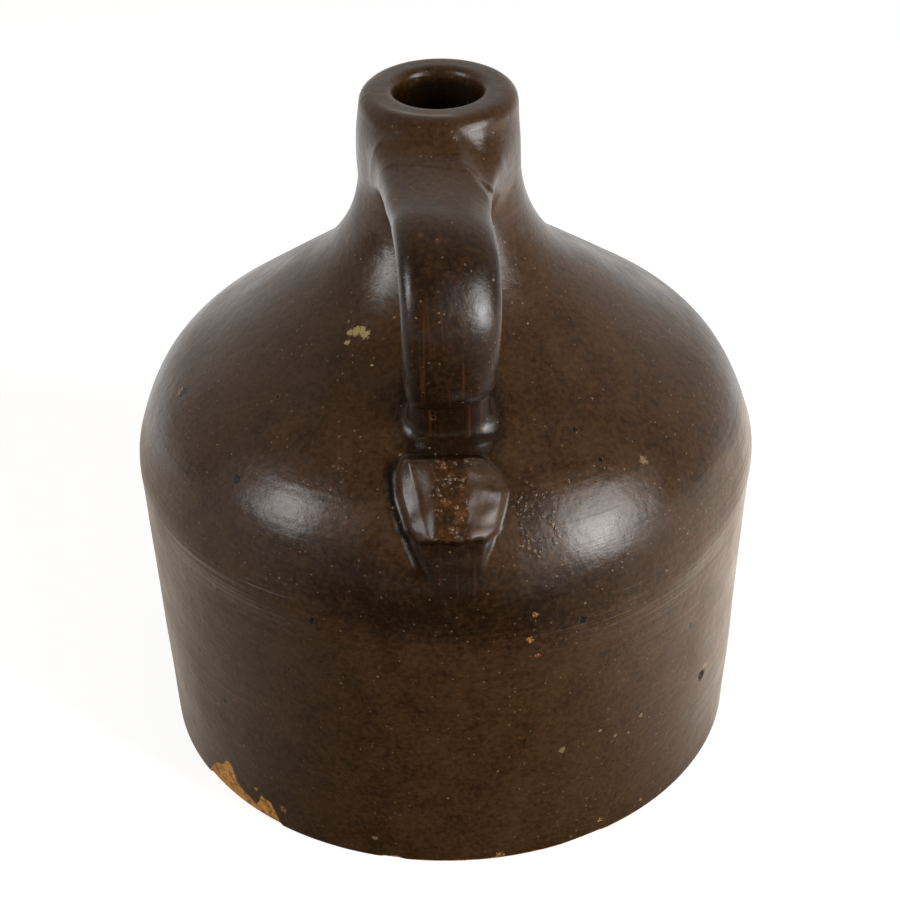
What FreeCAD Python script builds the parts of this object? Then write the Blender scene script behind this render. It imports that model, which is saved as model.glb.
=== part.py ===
"""A one-gallon stoneware beehive jug: a thrown body with a straight wall, a domed
shoulder and a short thick-lipped neck, and a pulled strap handle that is smeared on
to the neck and pressed down with the thumbs on the shoulder. It is one piece of clay.

The frame: +Z up along the axis of the jug, origin at the centre of the foot, the
handle towards -Y. Lengths are in millimetres.
"""
import FreeCAD
import Part

import math
import os

# --- the thrown body ----------------------------------------------------------
HEIGHT = 226.0              # foot to lip
FOOT_RADIUS = 95.0          # radius of the wall at the foot
WALL_LEAN_DEG = 2.9         # the wall opens upwards by this angle
FOOT_ROUND = 2.0            # rounding of the edge of the foot
SHOULDER_ROUND = 47.7       # rounding between wall and dome
DOME_SLOPE_DEG = 36.0       # slope of the dome against the horizontal
FLARE_ROUND = 47.5          # hollow rounding between dome and neck
NECK_LENGTH = 48.5          # lip down to where the lines of neck and dome cross
NECK_RADIUS = 24.0          # radius of the neck at the lip
NECK_LEAN_DEG = 2.0         # the neck narrows upwards by this angle
LIP_ROUND = 4.5             # outer rounding of the lip

# --- the hollow ---------------------------------------------------------------
BORE_RADIUS = 13.5          # bore of the mouth
LIP_INNER_ROUND = 2.2       # inner rounding of the lip
WALL = 7.0                  # thickness of wall and dome
FLOOR = 8.0                 # thickness of the floor
FLOOR_ROUND = 12.0          # rounding between wall and floor inside

# --- the strap handle ---------------------------------------------------------
STRAP_DROP = 18.0           # lip down to the middle of the strap at the neck
STRAP_REACH = 88.4          # axis to the outermost face of the strap
STRAP_THICKNESS = 13.8      # through the strap
STRAP_END_THICKNESS = 12.0  # through the strap where it lands on the dome
STRAP_WIDTH = 30.0          # across the strap where its loop starts
STRAP_END_WIDTH = 21.0      # across the strap where it lands on the dome
STRAP_TURN_DEG = 14.0       # the face of the loop is turned this much towards +X
LOOP_RADIUS = 23.7          # middle line of the loop
ANKLE_RADIUS = 8.0          # middle line of the bend back, above the landing
LANDING_RADIUS = 63.5       # axis to the middle of the strap where it lands
ROOT_WIDTH = 38.5           # across the root, inside the neck
ROOT_THICKNESS = 30.0       # up and down the root, inside the neck
ROOT_START = 8.0            # axis to the start of the root, inside the neck
ROOT_FLARE = 30.0           # how far out from the neck the root has become strap
ROOT_SHIFT = 2.6            # the root sits this far towards -X
ROOT_LIFT = 2.2             # the middle of the root is this much above the strap's

# --- the tail of the strap, pressed on the shoulder ---------------------------
TAIL_LENGTH = 55.0          # from the landing, down dome and shoulder
TAIL_START_WIDTH = 21.0     # across its upper end, under the strap
TAIL_WIDTH = 34.0           # across its widest place
TAIL_WIDEST_AT = 26.0       # from the landing down to its widest place
TAIL_TIP_WIDTH = 17.0       # across its lower tip
TAIL_START_RISE = 2.2       # how far it stands proud at the landing
TAIL_RISE = 6.0             # how far the ridge between the thumb marks stands proud
TAIL_ROLL_FROM = 8.0        # from the landing down to the foot of the roll of clay
TAIL_ROLL_LENGTH = 14.0     # over which the ridge rises
TAIL_STEP_AT = 35.5         # from the landing down to the end of the thumb marks
TAIL_STEP_LENGTH = 5.0      # over which it steps down to the tip
TAIL_TIP_RISE = 2.6         # how far it stands proud below that step
TAIL_TIP_DEPTH = 0.8        # how far its tip runs out under the surface
TAIL_SINK = 3.0             # how deep it is pressed into the wall
THUMB_SLOPE = 0.6           # share of the rise lost from the ridge to each edge

# --- curves -------------------------------------------------------------------
SECTION_POINTS = 28         # points on each section of strap and tail
STRAP_SQUARENESS = 2.15     # 2 is an ellipse, more is boxier
ROOT_SQUARENESS = 2.7       # where the root meets the neck
TAIL_SQUARENESS = 3.2
STRAP_SECTIONS = 25
TAIL_SECTIONS = 22

AXIS_UP = FreeCAD.Vector(0, 0, 1)
ACROSS = FreeCAD.Vector(1, 0, 0)
ORIGIN = FreeCAD.Vector(0, 0, 0)


def place(radius, height):
    """A point of the half plane through the handle: radius out, height up."""
    return FreeCAD.Vector(0, -radius, height)


def eased(share):
    """A share from 0 to 1, slow at both ends."""
    share = min(max(share, 0.0), 1.0)
    return share * share * (3 - 2 * share)


def lines_cross(p, p_angle, q, q_angle):
    """Where two lines of (radius, height) cross, each a point and a direction."""
    p_out, p_up = math.cos(p_angle), math.sin(p_angle)
    q_out, q_up = math.cos(q_angle), math.sin(q_angle)
    across = p_out * q_up - p_up * q_out
    along = ((q[0] - p[0]) * q_up - (q[1] - p[1]) * q_out) / across
    return (p[0] + along * p_out, p[1] + along * p_up)


def moved_left(point, angle, distance):
    """A point of (radius, height) moved to the left of a direction."""
    return (point[0] - distance * math.sin(angle), point[1] + distance * math.cos(angle))


# Directions of wall and dome along the outline, going up.
WALL_ANGLE = math.radians(90 - WALL_LEAN_DEG)
DOME_ANGLE = math.radians(180 - DOME_SLOPE_DEG)

# Corners of the outline before they are rounded, as (radius, height).
FOOT_CORNER = (FOOT_RADIUS, 0.0)
LIP_CORNER = (NECK_RADIUS, HEIGHT)
NECK_CORNER = (
    NECK_RADIUS + NECK_LENGTH * math.tan(math.radians(NECK_LEAN_DEG)),
    HEIGHT - NECK_LENGTH,
)
SHOULDER_CORNER = lines_cross(FOOT_CORNER, WALL_ANGLE, NECK_CORNER, DOME_ANGLE)


def rounded_outline(corners, rounds):
    """Edges through the corners, where each inner corner is a tangent arc."""
    points = [place(*corner) for corner in corners]
    edges = []
    start = points[0]
    for before, corner, after, radius in zip(points, points[1:], points[2:], rounds):
        back = (before - corner).normalize()
        onward = (after - corner).normalize()
        half = back.getAngle(onward) / 2
        reach = radius / math.tan(half)
        arc_start = corner + back * reach
        arc_end = corner + onward * reach
        depth = radius / math.sin(half) - radius
        arc_middle = corner + (back + onward).normalize() * depth
        edges.append(Part.LineSegment(start, arc_start).toShape())
        edges.append(Part.Arc(arc_start, arc_middle, arc_end).toShape())
        start = arc_end
    edges.append(Part.LineSegment(start, points[-1]).toShape())
    return edges


def turned(edges):
    """The solid that an outline from axis to axis sweeps when it is turned."""
    first = edges[0].firstVertex(True).Point
    last = edges[-1].lastVertex(True).Point
    axis_edge = Part.LineSegment(last, first).toShape()
    face = Part.Face(Part.Wire(edges + [axis_edge]))
    face.rotate(ORIGIN, AXIS_UP, 180)
    return face.revolve(ORIGIN, AXIS_UP, 360)


def outer_outline():
    """Foot, wall, shoulder, dome, flare, neck and lip, from axis to axis."""
    corners = [(0, 0), FOOT_CORNER, SHOULDER_CORNER, NECK_CORNER, LIP_CORNER, (0, HEIGHT)]
    return rounded_outline(corners, [FOOT_ROUND, SHOULDER_ROUND, FLARE_ROUND, LIP_ROUND])


def hollow():
    """The space inside: floor, wall and dome a wall's thickness in, and the bore."""
    wall_point = moved_left(FOOT_CORNER, WALL_ANGLE, WALL)
    dome_point = moved_left(NECK_CORNER, DOME_ANGLE, WALL)
    corners = [
        (0, FLOOR),
        lines_cross(wall_point, WALL_ANGLE, (0, FLOOR), 0),
        lines_cross(wall_point, WALL_ANGLE, dome_point, DOME_ANGLE),
        lines_cross((BORE_RADIUS, 0), math.pi / 2, dome_point, DOME_ANGLE),
        (BORE_RADIUS, HEIGHT - LIP_INNER_ROUND),
    ]
    rounds = [FLOOR_ROUND, SHOULDER_ROUND - WALL, FLARE_ROUND]
    edges = rounded_outline(corners, rounds)
    slant = LIP_INNER_ROUND * (1 - math.sqrt(0.5))
    lip_start = place(*corners[-1])
    lip_middle = place(BORE_RADIUS + slant, HEIGHT - slant)
    lip_end = place(BORE_RADIUS + LIP_INNER_ROUND, HEIGHT)
    edges.append(Part.Arc(lip_start, lip_middle, lip_end).toShape())
    edges.append(Part.LineSegment(lip_end, place(0, HEIGHT)).toShape())
    return turned(edges)


def closed_curve(points):
    """A smooth closed wire through the points."""
    curve = Part.BSplineCurve()
    curve.interpolate(points, PeriodicFlag=True)
    return Part.Wire([curve.toShape()])


def round_box(squareness):
    """Points round a superellipse that reaches from -1 to 1 both ways.

    They start at the bottom, so that the seam of a loft through them lies there.
    """
    points = []
    for step in range(SECTION_POINTS):
        angle = 2 * math.pi * step / SECTION_POINTS - math.pi / 2
        across, up = math.cos(angle), math.sin(angle)
        power = 2 / squareness
        points.append((
            math.copysign(abs(across) ** power, across),
            math.copysign(abs(up) ** power, up),
        ))
    return points


def dome_height(radius):
    """Height of the straight stretch of the dome at a radius."""
    return NECK_CORNER[1] - (radius - NECK_CORNER[0]) * math.tan(math.radians(DOME_SLOPE_DEG))


def strap_path():
    """The strap's middle line: its level length, whole length and place by distance.

    It leaves the neck level, bends down round the loop, bends back through the ankle
    and goes straight down through the landing until its end is inside the wall. Both
    bends are arcs, tangent to each other and to the straight ends.
    """
    level = HEIGHT - STRAP_DROP
    loop_out = STRAP_REACH - STRAP_THICKNESS / 2 - LOOP_RADIUS
    loop_up = level - LOOP_RADIUS
    ankle_out = LANDING_RADIUS + ANKLE_RADIUS
    between = LOOP_RADIUS + ANKLE_RADIUS
    ankle_up = loop_up - math.sqrt(between ** 2 - (ankle_out - loop_out) ** 2)
    turning = math.atan2(loop_up - ankle_up, ankle_out - loop_out)
    level_run = loop_out - ROOT_START
    loop_end = level_run + LOOP_RADIUS * (math.pi / 2 + turning)
    ankle_end = loop_end + ANKLE_RADIUS * turning
    end_up = dome_height(LANDING_RADIUS + STRAP_THICKNESS / 2) - TAIL_SINK
    whole_run = ankle_end + ankle_up - end_up

    def at(run):
        """The point, and the angle above level of the direction out of the strap's face."""
        if run <= level_run:
            return place(ROOT_START + run, level), math.pi / 2
        if run <= loop_end:
            angle = math.pi / 2 - (run - level_run) / LOOP_RADIUS
            out = loop_out + LOOP_RADIUS * math.cos(angle)
            return place(out, loop_up + LOOP_RADIUS * math.sin(angle)), angle
        if run <= ankle_end:
            angle = (run - loop_end) / ANKLE_RADIUS - turning
            out = ankle_out - ANKLE_RADIUS * math.cos(angle)
            return place(out, ankle_up - ANKLE_RADIUS * math.sin(angle)), angle
        return place(LANDING_RADIUS, ankle_up - (run - ankle_end)), 0.0

    return level_run, whole_run, at


def strap():
    """The strap from inside the neck to inside the dome, flared at its root."""
    level_run, length, at = strap_path()
    flare_run = NECK_RADIUS + ROOT_FLARE - ROOT_START
    wires = []
    for index in range(STRAP_SECTIONS):
        run = length * index / (STRAP_SECTIONS - 1)
        centre, angle = at(run)
        flare = 1 - eased(run / flare_run)
        narrowing = max((run - level_run) / (length - level_run), 0.0) ** 2
        width = STRAP_WIDTH + (ROOT_WIDTH - STRAP_WIDTH) * flare
        width -= (STRAP_WIDTH - STRAP_END_WIDTH) * narrowing
        thickness = STRAP_THICKNESS + (ROOT_THICKNESS - STRAP_THICKNESS) * flare
        thickness -= (STRAP_THICKNESS - STRAP_END_THICKNESS) * narrowing
        centre = centre - ACROSS * (ROOT_SHIFT * flare) + AXIS_UP * (ROOT_LIFT * flare)
        along = place(math.sin(angle), -math.cos(angle))
        turn = STRAP_TURN_DEG * math.sin(math.pi * run / length)
        turned_face = FreeCAD.Rotation(along, -turn)
        across = turned_face.multVec(ACROSS) * (width / 2)
        outward = turned_face.multVec(place(math.cos(angle), math.sin(angle))) * (thickness / 2)
        squareness = STRAP_SQUARENESS + (ROOT_SQUARENESS - STRAP_SQUARENESS) * flare
        wires.append(closed_curve(
            [centre + across * u + outward * v for u, v in round_box(squareness)]
        ))
    return Part.makeLoft(wires, True)


def down_outline(outline, distance):
    """The point and outward direction at a distance down the outline from the landing."""
    wall, shoulder, dome = outline[2:5]
    dome_foot = -dome.firstVertex(True).Point.y
    beyond = distance - (dome_foot - LANDING_RADIUS) / math.cos(math.radians(DOME_SLOPE_DEG))
    if beyond <= 0:
        edge, height = dome, -beyond
    elif beyond <= shoulder.Length:
        edge, height = shoulder, shoulder.Length - beyond
    else:
        edge, height = wall, wall.Length + shoulder.Length - beyond
    parameter = edge.getParameterByLength(height)
    return edge.valueAt(parameter), ACROSS.cross(edge.tangentAt(parameter))


def tail(outline):
    """The pressed tail: low sections square to the dome and shoulder they follow.

    Across, each section has a ridge in the middle and a thumb mark down each side,
    and it drops with the round of the body. Along, it widens to a leaf, steps down
    below the thumb marks and runs out under the surface at its tip.
    """
    wires = []
    for index in range(TAIL_SECTIONS):
        distance = TAIL_LENGTH * index / (TAIL_SECTIONS - 1)
        centre, outward = down_outline(outline, distance)
        below_widest = eased((distance - TAIL_WIDEST_AT) / (TAIL_LENGTH - TAIL_WIDEST_AT))
        width = TAIL_START_WIDTH
        width += (TAIL_WIDTH - TAIL_START_WIDTH) * eased(distance / TAIL_WIDEST_AT)
        width -= (TAIL_WIDTH - TAIL_TIP_WIDTH) * below_widest
        stepped = eased((distance - TAIL_STEP_AT) / TAIL_STEP_LENGTH)
        rise = TAIL_START_RISE
        rise += (TAIL_RISE - TAIL_START_RISE) * eased((distance - TAIL_ROLL_FROM) / TAIL_ROLL_LENGTH)
        rise -= (TAIL_RISE - TAIL_TIP_RISE) * stepped
        run_out = (distance - TAIL_STEP_AT - TAIL_STEP_LENGTH) / (
            TAIL_LENGTH - TAIL_STEP_AT - TAIL_STEP_LENGTH
        )
        rise -= (TAIL_TIP_RISE + TAIL_TIP_DEPTH) * max(run_out, 0.0)
        roundness = outward.dot(place(1, 0)) / (2 * centre.dot(place(1, 0)))
        points = []
        for u, v in round_box(TAIL_SQUARENESS):
            x = u * width / 2
            height = (rise + TAIL_SINK) * (1 + v) / 2 - TAIL_SINK
            height -= THUMB_SLOPE * rise * abs(u) * max(v, 0.0)
            points.append(centre + ACROSS * x + outward * (height - roundness * x * x))
        wires.append(closed_curve(points))
    return Part.makeLoft(wires, True)


def jug():
    """The whole jug as one solid."""
    outline = outer_outline()
    return turned(outline).fuse([strap(), tail(outline)]).cut(hollow())


os.makedirs("parts", exist_ok=True)
whole = jug()
whole.exportStep("parts/jug.step")
print("solids", len(whole.Solids), "valid", whole.isValid(), "volume", round(whole.Volume))
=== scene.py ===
"""Beehive jug: a thrown stoneware body and a pulled strap handle under a glossy
dark brown slip glaze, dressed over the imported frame.

Lengths are in metres in the frame of the jug: +Z up its axis, the handle towards -Y.
"""
import math

import bpy
import numpy as np
from bpy.props import FloatProperty, FloatVectorProperty, IntProperty, PointerProperty
from mathutils import Matrix, Vector


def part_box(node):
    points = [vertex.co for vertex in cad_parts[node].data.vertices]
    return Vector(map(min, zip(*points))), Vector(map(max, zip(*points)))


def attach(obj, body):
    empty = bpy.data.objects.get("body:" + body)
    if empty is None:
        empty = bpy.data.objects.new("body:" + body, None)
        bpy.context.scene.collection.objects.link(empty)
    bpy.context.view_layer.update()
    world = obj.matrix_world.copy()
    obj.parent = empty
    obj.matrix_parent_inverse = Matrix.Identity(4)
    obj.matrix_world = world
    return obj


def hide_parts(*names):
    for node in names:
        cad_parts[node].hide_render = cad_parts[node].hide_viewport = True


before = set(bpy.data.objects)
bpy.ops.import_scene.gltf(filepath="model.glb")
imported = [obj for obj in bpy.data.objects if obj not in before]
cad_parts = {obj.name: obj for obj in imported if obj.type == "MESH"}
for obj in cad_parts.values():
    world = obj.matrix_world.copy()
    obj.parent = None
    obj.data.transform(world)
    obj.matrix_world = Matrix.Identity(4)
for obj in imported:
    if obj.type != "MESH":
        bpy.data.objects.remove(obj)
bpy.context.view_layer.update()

bl_info = {
    "name": "Beehive jug",
    "version": (1, 0, 0),
    "blender": (4, 5, 0),
    "location": "View3D > Sidebar > Jug",
    "description": "A glazed stoneware beehive jug with a strap handle",
    "category": "Object",
}

JUG_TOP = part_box("jug")[1][2]

STRAP_COLUMNS, STRAP_ROWS, MEASURED_ROWS = 144, 300, 900
FLOOR_REACH, FLOOR_SHADE, FLOOR_GLOW = 6.0, 0.45, 0.77
CARD_HALF, CARD_FRONT, CARD_HEIGHT = 1.0, -1.3, 0.001
CAMERA_PLACE, CAMERA_AIM = (0.0, -0.636631, 0.519079), (0.001492, 0.0, 0.095305)
LAMP_AIM = (0.0, 0.0, 0.1)


# --- settings -----------------------------------------------------------------

def length(name, default, description):
    """A size in metres."""
    return FloatProperty(name=name, default=default, description=description,
                         subtype="DISTANCE", unit="LENGTH", precision=5)


def angle(name, degrees, description):
    """An angle, given in degrees."""
    return FloatProperty(name=name, default=math.radians(degrees), description=description,
                         subtype="ANGLE", unit="ROTATION")


def number(name, default, description):
    """A plain number."""
    return FloatProperty(name=name, default=default, description=description)


def colour(name, default, description):
    """A colour, in linear light."""
    return FloatVectorProperty(name=name, default=default, description=description,
                               subtype="COLOR", size=3, min=0.0, max=1.0)


class JugBodySettings(bpy.types.PropertyGroup):
    """Sizes of the thrown body."""
    height: length("Height", JUG_TOP, "Foot to lip")
    foot_radius: length("Foot radius", 0.095, "Radius of the wall at the foot")
    wall_lean: angle("Wall lean", 2.9, "The wall opens upwards by this angle")
    foot_round: length("Foot rounding", 0.002, "Rounding of the edge of the foot")
    shoulder_round: length("Shoulder rounding", 0.0477, "Rounding between wall and dome")
    dome_slope: angle("Dome slope", 36.0, "Slope of the dome against the horizontal")
    flare_round: length("Flare rounding", 0.0475, "Hollow rounding from dome to neck")
    neck_length: length("Neck length", 0.0485, "Lip down to where neck and dome lines cross")
    neck_radius: length("Neck radius", 0.024, "Radius of the neck at the lip")
    neck_lean: angle("Neck lean", 2.0, "The neck narrows upwards by this angle")
    lip_round: length("Lip rounding", 0.0045, "Outer rounding of the lip")
    lip_inner_round: length("Inner lip rounding", 0.0025, "Rounding into the bore")
    bore_radius: length("Bore radius", 0.0135, "Radius of the bore of the mouth")
    wall: length("Wall", 0.007, "Thickness of wall and dome")
    floor: length("Floor", 0.008, "Thickness of the floor")
    floor_round: length("Floor rounding", 0.012, "Rounding from floor to wall inside")
    wobble: length("Wobble", 0.0003, "How far the hand-thrown wall strays from round")
    ridge: length("Ridge", 0.00034, "Height of the soft ridge below the shoulder")
    ridge_up: length("Ridge place", 0.105, "Foot to the ridge, round the back")
    ridge_dip: length("Ridge dip", 0.020, "The ridge runs this much lower in front")


class JugStrapSettings(bpy.types.PropertyGroup):
    """Sizes of the strap handle."""
    drop: length("Drop", 0.018, "Lip down to the middle of the strap at the neck")
    reach: length("Reach", 0.0884, "Axis to the outermost face of the strap")
    thickness: length("Thickness", 0.0138, "Through the strap")
    end_thickness: length("End thickness", 0.012, "Through the strap where it lands")
    width: length("Width", 0.030, "Across the strap where its loop starts")
    end_width: length("End width", 0.0215, "Across the strap where it lands")
    turn: angle("Turn", 14.0, "The face of the loop is turned this much towards +X")
    loop_radius: length("Loop radius", 0.0237, "Middle line of the loop")
    ankle_radius: length("Ankle radius", 0.008, "Middle line of the bend back")
    landing_radius: length("Landing radius", 0.0635, "Axis to the middle of the landing")
    root_start: length("Root start", 0.006, "Axis to the start of the root")
    root_width: length("Root width", 0.046, "Across the root, inside the neck")
    root_thickness: length("Root thickness", 0.036, "Up and down the root")
    root_flare: length("Root flare", 0.050, "From the root's start out to where it is strap")
    root_shift: length("Root shift", 0.0018, "The root sits this far towards -X")
    root_lift: length("Root lift", 0.0036, "The root's middle above the strap's")
    dent: length("Dent", 0.0055, "Depth of the thumb dent beside the root")
    squareness: number("Squareness", 2.35, "Two is an ellipse, more is boxier")
    root_squareness: number("Root squareness", 3.2, "Squareness where the root meets the neck")
    neck_blend: length("Neck blend", 0.010, "Reach of the fillet between root and neck")
    landing_blend: length("Landing blend", 0.0034, "Reach of the fillet at the landing")


class JugTailSettings(bpy.types.PropertyGroup):
    """Sizes of the pressed tail of the strap."""
    roll: length("Roll", 0.0090, "From the landing down to the roll of clay")
    marks: length("Marks", 0.0140, "From the landing down to the start of the thumb marks")
    step: length("Step", 0.0382, "From the landing down to the end of the thumb marks")
    tip: length("Tip", 0.0500, "From the landing down to the tip")
    roll_rise: length("Roll rise", 0.0013, "Height of the roll of clay")
    rise: length("Rise", 0.0062, "Height of the ridge at the start of the thumb marks")
    fall: number("Fall", 0.16, "How fast the ridge falls, over its length")
    shoulder: length("Shoulder", 0.0208, "From the landing down to where the dome rounds off")
    edge_rise: length("Edge rise", 0.0012, "Height of the edges of the thumb marks")
    tip_rise: length("Tip rise", 0.0014, "Height below the step")
    ridge_left: length("Ridge left", -0.0054, "Left side of the rough ridge between the marks")
    ridge_right: length("Ridge right", 0.0040, "Right side of that ridge")
    groove: length("Groove", 0.0009, "Depth of the groove beside the left edge")


class JugGlazeSettings(bpy.types.PropertyGroup):
    """Colours and finish of glaze and clay."""
    dark: colour("Dark", (0.0120, 0.0048, 0.0010), "Glaze where it lies thick")
    warm: colour("Warm", (0.063, 0.0288, 0.0096), "Glaze where it lies thin")
    sand: colour("Sand", (0.22, 0.145, 0.075), "Grains of sand at the surface")
    rust: colour("Rust", (0.125, 0.043, 0.011), "Edges of pits and thin places")
    scuff: colour("Scuff", (0.34, 0.25, 0.085), "Crusty yellow scuff")
    clay: colour("Clay", (0.58, 0.260, 0.054), "Bare clay in the chips")
    roughness: number("Roughness", 0.32, "Roughness of the glaze")
    peel: length("Peel", 0.00014, "Depth of the waviness of the glaze")


class JugStageSettings(bpy.types.PropertyGroup):
    """Camera, lamps and floor."""
    lens: number("Lens", 92.49, "Focal length in millimetres")
    turn: angle("Turn", -1.35, "Camera and aim turned round the jug's axis")
    roll: angle("Roll", -1.072, "Roll of the camera")
    lamp: number("Lamp", 9.0, "Radiance of the main lamp")
    sky: number("Sky", 0.25, "Strength of the surrounding light")
    backdrop: colour("Backdrop", (1.0, 1.0, 1.0), "Colour of floor and backdrop")
    card_edge: length("Card edge", 0.200, "Axis to the far edge of the card round the foot")
    seed: IntProperty(name="Seed", default=7, description="Seed of the wobble")


# --- marks of making and use ----------------------------------------------------
# Places on the wall are an angle in degrees from -Y towards +X and a height in
# millimetres; sizes are in millimetres too.

FOOT_CHIPS = (          # angles in degrees, heights of the upper edge in millimetres
    ((-61.0, -59.0, -56.0, -53.5, -52.0, -50.5, -49.0, -47.0, -45.5),
     (-2.0, 4.0, 9.5, 11.5, 16.0, 15.0, 8.5, 6.5, -2.0)),
    ((-60.0, -58.0, -52.0, -46.0, -43.5, -42.0, -39.5, -38.0, -36.5),
     (-2.0, 5.0, 6.5, 6.0, 4.5, 10.0, 9.0, 3.5, -2.0)),
    ((-17.0, -15.0, -12.0, -9.0), (-2.0, 1.8, 2.2, -2.0)),
    ((17.0, 22.0, 28.0, 33.0), (-2.0, 1.3, 1.8, -2.0)),
)
RING_PLACES = (         # angle, height, half width in degrees, half height, strength
    (30, 88, 17, 17, 4.6),
    (-40, 99, 18, 10, 3.4),
)
GRIT_PLACES = (         # angle, height, half width in degrees, half height, strength
    (15.2, 128.0, 6.5, 17.0, 1.0),
    (-24.0, 137.0, 6.0, 9.0, 0.35),
    (33.0, 43.0, 9.0, 7.0, 0.25),
    (13.2, 92.0, 3.0, 12.0, 0.5),
    (50.0, 70.0, 8.0, 8.0, 0.3),
)
CRUST_SHADE = (0.010, 0.0045, 0.0015)
HOLE_SHADE = (0.004, 0.0025, 0.0015)
GLINT_PIT = (55.4, 41.1, 2.2, 1.3)      # angle, height, radius, depth
SPOTS = {               # angle, height and radius of single marks of each kind
    "pit": ((-25.4, 96.2, 1.3), (22.3, 94.3, 1.2), (-45.7, 129.0, 1.2), (-55.6, 58.7, 0.9),
            (-49.1, 44.7, 0.9), (48.9, 69.3, 0.9), (65.6, 100.2, 0.9), (-75.4, 134.5, 2.0),
            (30.4, 143.0, 0.7), (32.4, 136.3, 0.8), (55.4, 41.1, 1.9)),
    "rust": ((13.4, 100.6, 1.1), (12.6, 91.3, 1.0), (13.9, 84.9, 0.9), (-47.0, 93.8, 1.0),
             (-76.6, 133.6, 1.6), (56.4, 43.6, 1.3), (28.5, 5.9, 1.0), (7.6, 2.2, 1.4),
             (-36.4, 9.0, 1.4), (-43.0, 12.0, 1.0)),
    "sand": ((30.6, 41.4, 0.8), (36.5, 44.7, 0.8), (27.1, 46.3, 0.7), (19.3, 43.1, 1.2),
             (-16.5, 8.9, 0.9), (41.7, 132.4, 1.4), (38.6, 5.4, 0.7), (33.8, 39.6, 0.6)),
    "scuff": ((-32.6, 163.4, 1.4), (-34.6, 163.9, 1.5), (-36.9, 163.4, 1.6), (-39.0, 162.8, 1.2),
              (-38.0, 160.9, 0.9), (-25.5, 158.1, 0.6)),
}


# --- arithmetic ---------------------------------------------------------------

def eased(share):
    """Smoothstep: 3 s^2 - 2 s^3 of a share held between 0 and 1."""
    share = np.clip(share, 0.0, 1.0)
    return share * share * (3 - 2 * share)


def hump(place, middle, half):
    """A bell: (1 - d^2)^2 with d the distance from the middle over its half width."""
    distance = np.clip((place - middle) / half, -1.0, 1.0)
    return (1 - distance ** 2) ** 2


def window(at, start, rise, end, fall):
    """One from start to end: it eases in over rise past start and out over fall past end."""
    return eased((at - start) / rise) * (1 - eased((at - end) / fall))


def through(places, values, at):
    """A curve through a few values: from each to the next half straight, half eased."""
    places, values = np.array(places), np.array(values)
    index = np.clip(np.searchsorted(places, at) - 1, 0, len(places) - 2)
    share = (at - places[index]) / (places[index + 1] - places[index])
    bend = 0.5 * eased(share) + 0.5 * np.clip(share, 0.0, 1.0)
    return values[index] + (values[index + 1] - values[index]) * bend


def lines_cross(p, p_angle, q, q_angle):
    """Where two lines of (radius, height) cross, each a point and a direction."""
    p_out, p_up = math.cos(p_angle), math.sin(p_angle)
    q_out, q_up = math.cos(q_angle), math.sin(q_angle)
    across = p_out * q_up - p_up * q_out
    along = ((q[0] - p[0]) * q_up - (q[1] - p[1]) * q_out) / across
    return (p[0] + along * p_out, p[1] + along * p_up)


def moved_left(point, direction, distance):
    """A point of (radius, height) moved to the left of a direction."""
    return (point[0] - distance * math.sin(direction), point[1] + distance * math.cos(direction))


def rounded_line(corners, rounds, step=0.0002):
    """Points along straight runs whose inner corners are tangent arcs.

    Each arc of radius R starts R / tan(half the corner) before its corner, and its
    points turn from the first tangent point about the arc's centre.
    """
    corners = np.array(corners, dtype=float)
    pieces = [corners[:1]]
    for before, corner, after, radius in zip(corners, corners[1:], corners[2:], rounds):
        back = (before - corner) / np.linalg.norm(before - corner)
        onward = (after - corner) / np.linalg.norm(after - corner)
        half = math.acos(np.clip(back @ onward, -1, 1)) / 2
        start = corner + back * radius / math.tan(half)
        centre = corner + (back + onward) / np.linalg.norm(back + onward) * radius / math.sin(half)
        turn = math.pi - 2 * half
        side = -np.sign(back[0] * onward[1] - back[1] * onward[0])
        angles = side * np.linspace(0, turn, max(int(radius * turn / step), 3))
        arm = start - centre
        pieces.append(centre + np.stack([
            arm[0] * np.cos(angles) - arm[1] * np.sin(angles),
            arm[0] * np.sin(angles) + arm[1] * np.cos(angles)], axis=1))
    pieces.append(corners[-1:])
    return np.concatenate(pieces)


def run_along(line):
    """Distance along a line of points, from its first."""
    return np.concatenate([[0.0], np.cumsum(np.linalg.norm(np.diff(line, axis=0), axis=1))])


def spread(low, high, spacing, sample=6000):
    """Places from low to high whose gaps follow a spacing, a function of place.

    The density 1 / spacing is summed along the way, and places are read off at even
    steps of that sum.
    """
    fine = np.linspace(low, high, sample)
    total = np.concatenate([[0.0], np.cumsum(np.diff(fine) / spacing((fine[1:] + fine[:-1]) / 2))])
    count = int(round(total[-1])) + 1
    return np.interp(np.linspace(0, total[-1], count), total, fine)


# --- meshes -------------------------------------------------------------------

def grid_faces(rows, columns):
    """Quads of a grid that is closed across its columns, wound to face outwards."""
    row = np.arange(rows - 1)[:, None] * columns
    column = np.arange(columns)[None, :]
    onward = (column + 1) % columns
    return np.stack([row + column, row + onward, row + columns + onward, row + columns + column],
                    axis=-1).reshape(-1, 4)


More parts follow.
